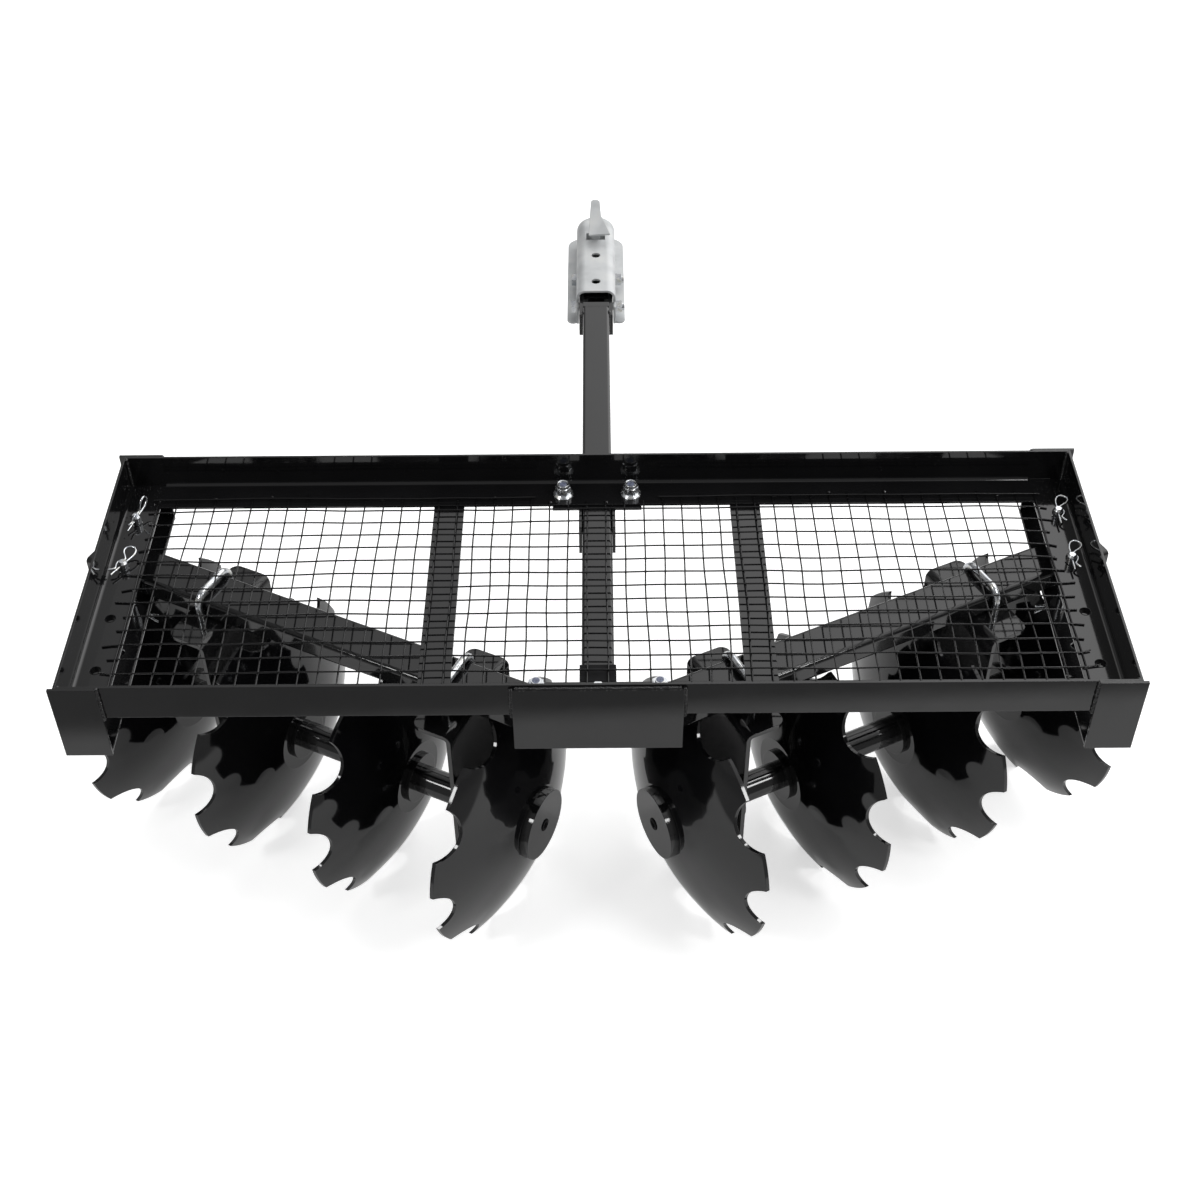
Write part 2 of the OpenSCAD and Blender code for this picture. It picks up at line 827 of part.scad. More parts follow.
module left_disc_1() {
  color(black) left_side() disc(0, left_turns[0]);
}

module left_disc_2() {
  color(black) left_side() disc(1, left_turns[1]);
}

module left_disc_3() {
  color(black) left_side() disc(2, left_turns[2]);
}

module left_disc_4() {
  color(black) left_side() disc(3, left_turns[3]);
}

module right_axle() {
  color(black) right_side() axle();
}

module right_spools() {
  color(black) right_side() spools();
}

module right_end_washers() {
  color(black) right_side() end_washers();
}

module right_disc_1() {
  color(black) right_side() disc(0, right_turns[0]);
}

module right_disc_2() {
  color(black) right_side() disc(1, right_turns[1]);
}

module right_disc_3() {
  color(black) right_side() disc(2, right_turns[2]);
}

module right_disc_4() {
  color(black) right_side() disc(3, right_turns[3]);
}

rear_rail();
front_rail();
left_rail();
right_rail();
left_lower_rail();
right_lower_rail();
rear_corner_plates();
front_corner_plates();
pivot_channel();
deck_straps();
deck_long_wires();
deck_cross_wires();
drawbar();
drawbar_front_saddle();
drawbar_rear_saddle();
saddle_bolts();
coupler_cheeks();
coupler_body();
coupler_latch();
coupler_bolts();
left_gang_beam();
right_gang_beam();
pivot_bolts();
lock_pins();
left_inner_hanger();
left_outer_hanger();
right_inner_hanger();
right_outer_hanger();
left_u_bolts();
right_u_bolts();
left_bearings();
right_bearings();
left_axle();
left_spools();
left_end_washers();
left_disc_1();
left_disc_2();
left_disc_3();
left_disc_4();
right_axle();
right_spools();
right_end_washers();
right_disc_1();
right_disc_2();
right_disc_3();
right_disc_4();
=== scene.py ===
"""Looks for a towed disc harrow: paint, plating, wire deck, clips, welds and small fasteners."""

import json
import math
import random

import bmesh
import bpy
from mathutils import Matrix, Vector


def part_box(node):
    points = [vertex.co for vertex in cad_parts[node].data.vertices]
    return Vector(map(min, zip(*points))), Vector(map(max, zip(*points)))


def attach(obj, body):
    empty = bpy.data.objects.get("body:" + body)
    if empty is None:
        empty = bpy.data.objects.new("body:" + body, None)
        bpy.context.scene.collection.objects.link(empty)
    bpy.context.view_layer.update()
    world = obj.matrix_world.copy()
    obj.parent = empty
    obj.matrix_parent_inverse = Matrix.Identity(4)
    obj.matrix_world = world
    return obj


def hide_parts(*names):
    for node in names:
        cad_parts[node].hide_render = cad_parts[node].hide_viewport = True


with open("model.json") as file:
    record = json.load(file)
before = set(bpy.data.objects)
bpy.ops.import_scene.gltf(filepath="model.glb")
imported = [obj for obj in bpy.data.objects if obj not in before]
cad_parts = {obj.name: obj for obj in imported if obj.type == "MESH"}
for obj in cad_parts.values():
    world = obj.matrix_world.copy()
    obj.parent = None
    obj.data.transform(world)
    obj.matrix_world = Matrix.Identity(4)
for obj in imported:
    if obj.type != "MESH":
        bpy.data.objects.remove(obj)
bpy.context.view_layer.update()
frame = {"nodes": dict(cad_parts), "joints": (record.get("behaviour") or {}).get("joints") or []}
scene = bpy.context.scene
dice = random.Random(7)
MM = 0.001
UP = (0, 0, 1)


# Small helpers

def paint_chip(code):
    """An sRGB hex colour as linear red, green, blue and alpha."""
    parts = [int(code[i:i + 2], 16) / 255 for i in (1, 3, 5)]
    return [c / 12.92 if c <= 0.04045 else ((c + 0.055) / 1.055) ** 2.4 for c in parts] + [1.0]


def cycles(size_mm):
    """A noise scale, in cycles per metre, for a pattern this many millimetres across."""
    return 1000 / size_mm


def put(tree, kind, sockets=None, **settings):
    """Adds one node: properties by keyword, and each socket given a value or another node's output."""
    node = tree.nodes.new(kind)
    for name, value in settings.items():
        setattr(node, name, value)
    for name, value in (sockets or {}).items():
        if isinstance(value, bpy.types.NodeSocket):
            tree.links.new(value, node.inputs[name])
        else:
            node.inputs[name].default_value = value
    return node


def ramp(node, *stops):
    """Sets a colour ramp's stops from (place, value or colour) pairs."""
    while len(node.color_ramp.elements) < len(stops):
        node.color_ramp.elements.new(0.5)
    for element, (place, value) in zip(node.color_ramp.elements, stops):
        element.position = place
        element.color = value if isinstance(value, list) else (value, value, value, 1)
    return node


def new_finish(name):
    """An empty node material with its shader and its Object coordinates."""
    finish = bpy.data.materials.new(name)
    finish.use_nodes = True
    shader = finish.node_tree.nodes["Principled BSDF"]
    coords = put(finish.node_tree, "ShaderNodeTexCoord")
    return finish, finish.node_tree, shader, coords.outputs["Object"]


# Finishes

def gloss_enamel(name, low, high, gloss, peel_mm, peel_depth, edge_mm, dust, ior=1.5):
    """Stoved gloss enamel, sprayed on mild steel and baked: near-black with clear, faintly rippled
    reflections (orange peel), softly rounded edges that catch the light, and a little settled dust.
    Dust grains are about half a millimetre across. Real orange peel is 1 to 3 mm across, too fine to show
    on the large faces, so peel_mm is drawn coarser there."""
    finish, tree, shader, place = new_finish(name)
    cloud = put(tree, "ShaderNodeTexNoise", {"Vector": place, "Scale": cycles(90), "Detail": 3.0})
    tone = ramp(put(tree, "ShaderNodeValToRGB", {"Fac": cloud.outputs["Fac"]}),
                (0.35, paint_chip(low)), (0.68, paint_chip(high)))
    speck = put(tree, "ShaderNodeTexVoronoi", {"Vector": place, "Scale": cycles(17), "Randomness": 1.0})
    grain = ramp(put(tree, "ShaderNodeValToRGB", {"Fac": speck.outputs["Distance"]}),
                 (0.015, dust), (0.05, 0.0))
    dusty = put(tree, "ShaderNodeMix", {"Factor": grain.outputs["Color"], "A": tone.outputs["Color"],
                                        "B": paint_chip("#6e6d6a")}, data_type="RGBA")
    tree.links.new(dusty.outputs[2], shader.inputs["Base Color"])
    smear = put(tree, "ShaderNodeTexNoise", {"Vector": place, "Scale": cycles(50), "Detail": 4.0})
    rough = put(tree, "ShaderNodeMapRange", {"Value": smear.outputs["Fac"], "From Min": 0.35, "From Max": 0.7,
                                             "To Min": gloss, "To Max": gloss + 0.05})
    tree.links.new(rough.outputs["Result"], shader.inputs["Roughness"])
    shader.inputs["IOR"].default_value = ior
    peel = put(tree, "ShaderNodeTexNoise", {"Vector": place, "Scale": cycles(peel_mm), "Detail": 1.5})
    edge = put(tree, "ShaderNodeBevel", {"Radius": edge_mm * MM}, samples=4)
    bump = put(tree, "ShaderNodeBump", {"Height": peel.outputs["Fac"], "Strength": 1.0,
                                        "Distance": peel_depth * MM, "Normal": edge.outputs["Normal"]})
    tree.links.new(bump.outputs["Normal"], shader.inputs["Normal"])
    return finish


def bright_zinc():
    """Bright zinc plating, barrel plated on steel: silvery with a cool cast, patchy brightness and fine
    tumbling scratches, drawn 1.2 mm across because real ones are too fine to show."""
    finish, tree, shader, place = new_finish("bright_zinc_plate")
    cloud = put(tree, "ShaderNodeTexNoise", {"Vector": place, "Scale": cycles(8), "Detail": 4.0})
    tone = ramp(put(tree, "ShaderNodeValToRGB", {"Fac": cloud.outputs["Fac"]}),
                (0.3, paint_chip("#b4b8be")), (0.55, paint_chip("#d6d8da")), (0.75, paint_chip("#c8c6bc")))
    tree.links.new(tone.outputs["Color"], shader.inputs["Base Color"])
    shader.inputs["Metallic"].default_value = 1.0
    rough = put(tree, "ShaderNodeMapRange", {"Value": cloud.outputs["Fac"], "To Min": 0.16, "To Max": 0.34})
    tree.links.new(rough.outputs["Result"], shader.inputs["Roughness"])
    scratch = put(tree, "ShaderNodeTexNoise", {"Vector": place, "Scale": cycles(1.2), "Detail": 2.0})
    edge = put(tree, "ShaderNodeBevel", {"Radius": 0.5 * MM}, samples=4)
    bump = put(tree, "ShaderNodeBump", {"Height": scratch.outputs["Fac"], "Strength": 0.5,
                                        "Distance": 0.05 * MM, "Normal": edge.outputs["Normal"]})
    tree.links.new(bump.outputs["Normal"], shader.inputs["Normal"])
    return finish


def galvanised_pressing():
    """Electro-galvanised steel pressing: smooth pale grey with a soft satin gloss, cloudy patches a few
    centimetres across, soft bends, and a grain drawn 3 mm across because the real one is too fine to show."""
    finish, tree, shader, place = new_finish("galvanised_pressing")
    cloud = put(tree, "ShaderNodeTexNoise", {"Vector": place, "Scale": cycles(35), "Detail": 3.0})
    tone = ramp(put(tree, "ShaderNodeValToRGB", {"Fac": cloud.outputs["Fac"]}),
                (0.3, paint_chip("#b0b2b3")), (0.5, paint_chip("#bfc1c2")), (0.75, paint_chip("#cbcccb")))
    tree.links.new(tone.outputs["Color"], shader.inputs["Base Color"])
    shader.inputs["Metallic"].default_value = 0.25
    rough = put(tree, "ShaderNodeMapRange", {"Value": cloud.outputs["Fac"], "To Min": 0.46, "To Max": 0.6})
    tree.links.new(rough.outputs["Result"], shader.inputs["Roughness"])
    skin = put(tree, "ShaderNodeTexNoise", {"Vector": place, "Scale": cycles(3), "Detail": 3.0})
    edge = put(tree, "ShaderNodeBevel", {"Radius": 1.6 * MM}, samples=6)
    bump = put(tree, "ShaderNodeBump", {"Height": skin.outputs["Fac"], "Strength": 0.4,
                                        "Distance": 0.05 * MM, "Normal": edge.outputs["Normal"]})
    tree.links.new(bump.outputs["Normal"], shader.inputs["Normal"])
    return finish


def bolt_lacquer():
    """Blue thread-lock lacquer dried on a bolt end: dull, cloudy blue-grey."""
    finish, tree, shader, place = new_finish("blue_thread_lacquer")
    cloud = put(tree, "ShaderNodeTexNoise", {"Vector": place, "Scale": cycles(3), "Detail": 2.0})
    tone = ramp(put(tree, "ShaderNodeValToRGB", {"Fac": cloud.outputs["Fac"]}),
                (0.3, paint_chip("#3c4152")), (0.7, paint_chip("#6d7388")))
    tree.links.new(tone.outputs["Color"], shader.inputs["Base Color"])
    shader.inputs["Roughness"].default_value = 0.45
    shader.inputs["IOR"].default_value = 1.5
    return finish


def flat_black_shade():
    """Flat black that swallows almost all reflection, with faint cloudy streaks. It is painted shade: parts
    in it read as dark shade in holes and recesses, under the coupler's roof and on the drawbar's rear saddle."""
    finish, tree, shader, place = new_finish("flat_black_painted_shade")
    cloud = put(tree, "ShaderNodeTexNoise", {"Vector": place, "Scale": cycles(12), "Detail": 3.0})
    tone = ramp(put(tree, "ShaderNodeValToRGB", {"Fac": cloud.outputs["Fac"]}),
                (0.3, paint_chip("#0a0a0b")), (0.7, paint_chip("#141416")))
    tree.links.new(tone.outputs["Color"], shader.inputs["Base Color"])
    rough = put(tree, "ShaderNodeMapRange", {"Value": cloud.outputs["Fac"], "To Min": 0.5, "To Max": 0.7})
    tree.links.new(rough.outputs["Result"], shader.inputs["Roughness"])
    shader.inputs["IOR"].default_value = 1.2
    return finish


enamel = gloss_enamel("gloss_black_enamel", "#0e0e0f", "#131314",
                      gloss=0.05, peel_mm=12.0, peel_depth=0.010, edge_mm=1.0, dust=0.10)
# On the discs the ripple is the long, shallow waviness that pressing leaves.
disc_enamel = gloss_enamel("gloss_black_disc_enamel", "#0b0b0d", "#0f0f10",
                           gloss=0.045, peel_mm=48.0, peel_depth=0.05, edge_mm=0.8, dust=0.06)
weld_enamel = gloss_enamel("black_enamel_over_weld", "#101011", "#171718",
                           gloss=0.10, peel_mm=3.0, peel_depth=0.08, edge_mm=0.4, dust=0.0)
wire_enamel = gloss_enamel("black_enamel_on_wire", "#09090a", "#0f0f10",
                           gloss=0.16, peel_mm=4.0, peel_depth=0.04, edge_mm=0.2, dust=0.0, ior=1.4)
zinc = bright_zinc()
galvanised = galvanised_pressing()
lacquer = bolt_lacquer()
shade_black = flat_black_shade()


# Geometry Nodes

def new_tree(name, *inputs):
    """A Geometry Nodes tree with a geometry input and the named inputs given as (name, kind, value)."""
    tree = bpy.data.node_groups.new(name, "GeometryNodeTree")
    tree.interface.new_socket("Geometry", in_out="INPUT", socket_type="NodeSocketGeometry")
    for label, kind, value in inputs:
        socket = tree.interface.new_socket(label, in_out="INPUT", socket_type="NodeSocket" + kind)
        if value is not None:
            socket.default_value = value
    tree.interface.new_socket("Geometry", in_out="OUTPUT", socket_type="NodeSocketGeometry")
    return tree, put(tree, "NodeGroupInput").outputs


def end_tree(tree, instances, material, smooth):
    """Closes a tree: real mesh, smooth faces if asked for, one finish."""
    shape = put(tree, "GeometryNodeRealizeInstances", {"Geometry": instances})
    if smooth:
        shape = put(tree, "GeometryNodeSetShadeSmooth", {"Geometry": shape.outputs["Geometry"]})
    done = put(tree, "GeometryNodeSetMaterial", {"Geometry": shape.outputs["Geometry"], "Material": material})
    put(tree, "NodeGroupOutput", {"Geometry": done.outputs["Geometry"]})
    return tree


def rod_tree():
    """Round rod along each chain of edges, with a wander that is the same for rods that cross."""
    tree, given = new_tree("rod_along_path", ("Radius", "Float", 0.001), ("Step", "Float", 0.01),
                           ("Sides", "Int", 8), ("Wander", "Float", 0.0), ("Wave", "Float", 0.2),
                           ("Material", "Material", None))
    noise_middle = (0.5, 0.5, 0.42)
    mostly_level = (1.0, 1.0, 0.25)
    path = put(tree, "GeometryNodeMeshToCurve", {"Mesh": given["Geometry"]})
    even = put(tree, "GeometryNodeResampleCurve", {"Curve": path.outputs["Curve"], "Length": given["Step"]},
               mode="LENGTH")
    spot = put(tree, "GeometryNodeInputPosition")
    waves = put(tree, "ShaderNodeMath", {0: 1.0, 1: given["Wave"]}, operation="DIVIDE")
    noise = put(tree, "ShaderNodeTexNoise", {"Vector": spot.outputs["Position"],
                                             "Scale": waves.outputs["Value"], "Detail": 1.0})
    centred = put(tree, "ShaderNodeVectorMath", {0: noise.outputs["Color"], 1: noise_middle},
                  operation="SUBTRACT")
    flat = put(tree, "ShaderNodeVectorMath", {0: centred.outputs["Vector"], 1: mostly_level},
               operation="MULTIPLY")
    shift = put(tree, "ShaderNodeVectorMath", {0: flat.outputs["Vector"], "Scale": given["Wander"]},
                operation="SCALE")
    moved = put(tree, "GeometryNodeSetPosition", {"Geometry": even.outputs["Curve"],
                                                  "Offset": shift.outputs["Vector"]})
    ring = put(tree, "GeometryNodeCurvePrimitiveCircle", {"Resolution": given["Sides"],
                                                          "Radius": given["Radius"]})
    rod = put(tree, "GeometryNodeCurveToMesh", {"Curve": moved.outputs["Geometry"],
                                                "Profile Curve": ring.outputs["Curve"], "Fill Caps": True})
    return end_tree(tree, rod.outputs["Mesh"], given["Material"], smooth=True)


def bead_tree():
    """Weld bead: overlapping flattened drops along each chain of edges."""
    tree, given = new_tree("weld_bead", ("Size", "Float", 0.003), ("Step", "Float", 0.0022),
                           ("Seed", "Int", 3), ("Material", "Material", None))
    smallest, largest = (0.8, 0.8, 0.55), (1.1, 1.1, 0.8)
    path = put(tree, "GeometryNodeMeshToCurve", {"Mesh": given["Geometry"]})
    spots = put(tree, "GeometryNodeCurveToPoints", {"Curve": path.outputs["Curve"], "Length": given["Step"]},
                mode="LENGTH")
    drop = put(tree, "GeometryNodeMeshIcoSphere", {"Radius": given["Size"], "Subdivisions": 2})
    uneven = put(tree, "FunctionNodeRandomValue", {"Min": smallest, "Max": largest, "Seed": given["Seed"]},
                 data_type="FLOAT_VECTOR")
    beads = put(tree, "GeometryNodeInstanceOnPoints", {"Points": spots.outputs["Points"],
                                                       "Instance": drop.outputs["Mesh"],
                                                       "Rotation": spots.outputs["Rotation"],
                                                       "Scale": uneven.outputs["Value"]})
    return end_tree(tree, beads.outputs["Instances"], given["Material"], smooth=True)


def fastener_tree():
    """One fastener set at every point, standing along the point's 'aim' and turned by chance."""
    tree, given = new_tree("fasteners_at_points", ("Fastener", "Object", None), ("Turn", "Float", 3.0),
                           ("Seed", "Int", 5), ("Material", "Material", None))
    aim = put(tree, "GeometryNodeInputNamedAttribute", {"Name": "aim"}, data_type="FLOAT_VECTOR")
    upright = put(tree, "FunctionNodeAlignRotationToVector", {"Vector": aim.outputs["Attribute"]}, axis="Z")
    chance = put(tree, "FunctionNodeRandomValue", {"Max": given["Turn"], "Seed": given["Seed"]},
                 data_type="FLOAT")
    spin = put(tree, "FunctionNodeAxisAngleToRotation", {"Angle": chance.outputs["Value"]})
    turned = put(tree, "FunctionNodeRotateRotation", {"Rotation": upright.outputs["Rotation"],
                                                      "Rotate By": spin.outputs["Rotation"]},
                 rotation_space="LOCAL")
    shape = put(tree, "GeometryNodeObjectInfo", {"Object": given["Fastener"]}, transform_space="ORIGINAL")
    placed = put(tree, "GeometryNodeInstanceOnPoints", {"Points": given["Geometry"],
                                                        "Instance": shape.outputs["Geometry"],
                                                        "Rotation": turned.outputs["Rotation"]})
    return end_tree(tree, placed.outputs["Instances"], given["Material"], smooth=False)


RODS = rod_tree()
BEADS = bead_tree()
FASTENERS = fastener_tree()


def grow(name, tree, start, body, slot, **inputs):
    """Runs a tree on a start mesh and keeps the result as one plain mesh that rides on a body."""
    host = bpy.data.objects.new(name, start)
    scene.collection.objects.link(host)
    modifier = host.modifiers.new("grow", "NODES")
    modifier.node_group = tree
    for item in tree.interface.items_tree:
        if item.item_type == "SOCKET" and item.in_out == "INPUT" and item.name in inputs:
            modifier[item.identifier] = inputs[item.name]
    mesh = bpy.data.meshes.new_from_object(host.evaluated_get(bpy.context.evaluated_depsgraph_get()))
    host.modifiers.clear()
    host.data = mesh
    mesh.name = name
    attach(host, body)
    return host


def chains(name, paths):
    """A mesh of edge chains, one for each list of points."""
    points, edges = [], []
    for path in paths:
        edges += [(len(points) + i, len(points) + i + 1) for i in range(len(path) - 1)]
        points += [tuple(p) for p in path]
    mesh = bpy.data.meshes.new(name)
    mesh.from_pydata(points, edges, [])
    return mesh


def marks(name, places):
    """A mesh of loose points, each with the direction its fastener stands in."""
    mesh = bpy.data.meshes.new(name)
    mesh.from_pydata([tuple(p) for p, _ in places], [], [])
    aim = mesh.attributes.new("aim", "FLOAT_VECTOR", "POINT")
    for item, (_, direction) in zip(aim.data, places):
        item.vector = Vector(direction).normalized()
    return mesh


# Turned and hexagonal shapes, in millimetres

def pattern(name, bm):
    """Keeps a bmesh as an object with its faces outward; it isn't shown unless it is linked to the scene."""
    bmesh.ops.recalc_face_normals(bm, faces=bm.faces)
    mesh = bpy.data.meshes.new(name)
    bm.to_mesh(mesh)
    bm.free()
    return bpy.data.objects.new(name, mesh)


def lathe(bm, rings, sides, shape=None, bored=False):
    """Joins rings of (radius, height) into a closed form, which shape(angle, radius, height) may change.
    A bored form runs from its last ring back to its first, and any other is capped at both ends."""
    loops = []
    for radius, height in rings:
        loop = []
        for k in range(sides):
            angle = math.tau * k / sides
            r, h = shape(angle, radius, height) if shape else (radius, height)
            loop.append(bm.verts.new((r * math.cos(angle) * MM, r * math.sin(angle) * MM, h * MM)))
        loops.append(loop)
    for low, high in zip(loops, loops[1:] + (loops[:1] if bored else [])):
        for k in range(sides):
            bm.faces.new((low[k], low[(k + 1) % sides], high[(k + 1) % sides], high[k]))
    if not bored:
        bm.faces.new(loops[0][::-1])
        bm.faces.new(loops[-1])


def turned_shape(name, rings, sides, bored=False):
    """One turned form kept as a pattern."""
    bm = bmesh.new()
    lathe(bm, rings, sides, bored=bored)
    return pattern(name, bm)


def nut_shape(name, across, high, collar, flange=0.0, bore=0.0):
    """A hexagon nut or head whose corners are turned back at 30 degrees: a washer flange at its foot if it
    has one, and a rolled collar that stands open round the bolt end if it has a bore."""
    half = across / 2
    on_hexagon = -1
    chamfer_slope = 0.577

    def corner(angle):
        return half / math.cos((angle + math.pi / 6) % (math.pi / 3) - math.pi / 6)

    def shape(angle, radius, height):
        if radius > 0:
            return radius, height
        drop = (corner(angle) - half * 0.98) * chamfer_slope
        return corner(angle), (drop * 0.6 if height < high / 2 else height - drop)

    top = high + collar
    rings = [(half * 0.93, 0.0), (on_hexagon, 0.0), (on_hexagon, high)]
    rings += [(half * 0.98, high), (half * 0.86, top)]
    if bore:
        rings += [(across * 0.41, top + 0.5), (bore / 2 + 0.4, top + 0.1), (bore / 2, top - 1.4)]
    bm = bmesh.new()
    lathe(bm, rings, 48, shape)
    if flange:
        edge = flange / 2
        lathe(bm, [(edge, -0.1), (edge, 1.2), (edge - 0.6, 1.9), (across * 0.56, 4.2)], 40)
    return pattern(name, bm)


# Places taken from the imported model

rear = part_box("rear_rail")[0].y
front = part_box("front_rail")[1].y
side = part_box("right_rail")[1].x
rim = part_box("rear_rail")[1].z
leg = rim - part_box("rear_rail")[0].z
foot, foot_top = [corner.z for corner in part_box("right_lower_rail")]
steel = foot_top - foot
deck = rim - leg + steel
hinge = {j["name"]: j for j in frame["joints"]}
pivot = Vector(hinge["right_gang_spin"]["pos_m"])
lean = math.atan2(-hinge["right_gang_spin"]["axis"][1], -hinge["right_gang_spin"]["axis"][0])
right_gang = Matrix.Translation((pivot.x, pivot.y, 0)) @ Matrix.Rotation(lean, 4, "Z")
left_gang = Matrix.Scale(-1, 4, (1, 0, 0)) @ right_gang
gangs = (("right", right_gang), ("left", left_gang))
axle_z = pivot.z


# Wire deck: both layers wander together, and no two wire ends are cut alike

pitch = 25 * MM
# The wire's radius is 0.9 mm in the solids, and is drawn a little stouter so that the wires show.
wire = 1.05 * MM
lower, upper = deck + wire, deck + 3 * wire
low_wires, high_wires = [], []
for i in range(-24, 24):
    x = (i + 0.5) * pitch
    near_nut = abs(x) < 75 * MM
    tail = rear + 24 * MM - dice.uniform(0, 5) * MM
    head = front - leg + (6 * MM if near_nut else dice.uniform(12, 24) * MM)
    low_wires.append([(x, tail, lower), (x, head, lower)])
first_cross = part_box("deck_cross_wires")[0].y + wire
last_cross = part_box("deck_cross_wires")[1].y - wire
edge_x = side - leg
for i in range(round((last_cross - first_cross) / pitch) + 1):
    y = first_cross + i * pitch
    row = [(0, y, upper)]
    for s in (-1, 1):
        tip_x = edge_x + dice.uniform(8, 24) * MM
        nudge = dice.uniform(-4, 4) * MM
        tip_rise = max(0.0, nudge - 2 * MM) * 0.8
        arm = [(s * (edge_x - 45 * MM), y, upper), (s * (edge_x - 6 * MM), y, deck + 1.6 * wire),
               (s * (edge_x + 4 * MM), y, lower), (s * tip_x, y + nudge, lower + tip_rise)]
        row = arm[::-1] + row if s < 0 else row + arm
    high_wires.append(row)
for s in (-1, 1):
    y = last_cross + pitch
    high_wires.append([(s * 82 * MM, y, upper), (s * (edge_x + 9 * MM), y, upper)])
wire_deck = grow("wire_deck", RODS, chains("wire_paths", low_wires + high_wires), "frame", "wire",
                 Radius=wire, Step=12 * MM, Sides=8, Wander=9 * MM, Wave=0.16, Material=wire_enamel)
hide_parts("deck_long_wires", "deck_cross_wires")


# Spring clips through both ends of the lock pins

# A clip's wire from the tip of its straight leg to the tip of its humped leg, as (across, along) in mm
CLIP = [(0, -22), (0, -8), (0, 8), (0, 18), (1, 23), (3.5, 27.5), (8, 30), (13, 28.5), (16.3, 24.5),
        (16.4, 20), (13.4, 15.6), (8, 12), (3.8, 8.6), (5, 4), (8.2, -0.5), (6.5, -5.5), (3.2, -10),
        (5, -14), (8.6, -17.8)]


def clip_path(place, swing, roll, tilt, hump, legs=1.0):
    """One spring clip: a straight leg through the pin, a round eye, and a humped leg over the pin.
    Swing turns it about the pin, roll about its leg, tilt lifts the eye, hump is its side, and legs
    stretches its open end."""
    turn = (Matrix.Translation(place) @ Matrix.Rotation(math.radians(swing), 4, "Z")
            @ Matrix.Rotation(math.radians(tilt), 4, "X") @ Matrix.Rotation(math.radians(roll), 4, "Y"))
    return [turn @ Vector((hump * x * MM, (y * legs if y < 0 else y) * MM, 0)) for x, y in CLIP]


pin_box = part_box("lock_pins")
pin_washer = 12 * MM
pin_x = pin_box[1].x - pin_washer
pin_back, pin_front = pin_box[0].y + pin_washer, pin_box[1].y - pin_washer
above, below = deck + 9 * MM, foot - 4.4 * MM
clips = [
    clip_path((pin_x, pin_front, above), swing=0, roll=-4, tilt=3, hump=1),
    clip_path((pin_x, pin_back, above), swing=0, roll=-4, tilt=3, hump=1),
    clip_path((-pin_x, pin_front, above), swing=-24, roll=-84, tilt=14, hump=1),
    clip_path((-pin_x, pin_back, above), swing=-34, roll=8, tilt=3, hump=-1),
    clip_path((pin_x, pin_front, below), swing=-28, roll=0, tilt=0, hump=-1),
    clip_path((pin_x, pin_back, below), swing=-62, roll=0, tilt=2, hump=-1, legs=2.0),
    clip_path((-pin_x, pin_front, below), swing=28, roll=0, tilt=0, hump=1),
    clip_path((-pin_x, pin_back, below), swing=54, roll=0, tilt=2, hump=1, legs=2.0),
]
grow("lock_pin_clips", RODS, chains("clip_paths", clips), "frame", "zinc",
     Radius=1.3 * MM, Step=1.6 * MM, Sides=10, Wander=0.0, Wave=0.2, Material=zinc)


# Weld beads, tacks on the wires and spatter, all under the paint

bead = 1 * MM
corner_x = side - steel - bead
plate_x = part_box("right_lower_rail")[0].x - bead
channel_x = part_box("pivot_channel")[1].x + bead
channel_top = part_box("pivot_channel")[1].z
bar_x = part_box("drawbar")[1].x
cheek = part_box("coupler_cheeks")
upright_seams = [
    (corner_x, front - steel - bead, deck, rim - 2 * MM),
    (corner_x, rear + steel + bead, deck, rim - 2 * MM),
    (plate_x, rear - bead, deck - 4 * MM, rim - 1 * MM),
    (plate_x, front + bead, deck - 4 * MM, rim - 1 * MM),
    (channel_x, rear - bead, deck - 4 * MM, rim - 6 * MM),
    (bar_x, cheek[0].y, cheek[0].z + 6 * MM, cheek[1].z - 2 * MM),
]
seams = [[(s * x, y, low), (s * x, y, high)] for s in (-1, 1) for x, y, low, high in upright_seams]
seams.append([(s * (channel_x - 6 * MM), rear - bead, channel_top) for s in (-1, 1)])
grow("weld_beads", BEADS, chains("weld_paths", seams), "frame", "black_paint",
     Size=3.2 * MM, Step=2.3 * MM, Seed=3, Material=weld_enamel)

tack_places = []
for x, y, _ in [low_wire[1] for low_wire in low_wires][::3]:
    tack_places.append(((x, y - 2 * MM, deck + 0.8 * MM), UP))
for row in high_wires[:-2:2]:
    for x, y, _ in (row[1], row[-2]):
        tack_places.append(((x, y, deck + 0.2 * MM), UP))
tack = turned_shape("tack_shape", [(2.6, -0.3), (2.5, 0.6), (1.7, 1.3), (0.6, 1.6)], 10)
grow("mesh_tacks", FASTENERS, marks("tack_spots", tack_places), "frame", "black_paint",
     Fastener=tack, Turn=6.0, Seed=2, Material=weld_enamel)

# Punched lips round the spare pin holes, sleeved 6 mm below the rail, in flat black as painted shade so that
# the holes read dark instead of showing the floor
lip_foot = -6.0 - steel / MM
lip_rings = [(6.3, lip_foot), (6.3, 0.1), (6.9, 0.35), (7.3, -0.1), (7.3, lip_foot)]
lip = turned_shape("punched_lip", lip_rings, 32, bored=True)
hole_step = pin_front - pin_back
spare_holes = [((s * pin_x, pin_back - k * hole_step, deck), UP) for s in (-1, 1) for k in (1, 2)]
grow("pin_hole_lips", FASTENERS, marks("spare_hole_spots", spare_holes), "frame", "black_paint",
     Fastener=lip, Turn=6.0, Seed=6, Material=shade_black)

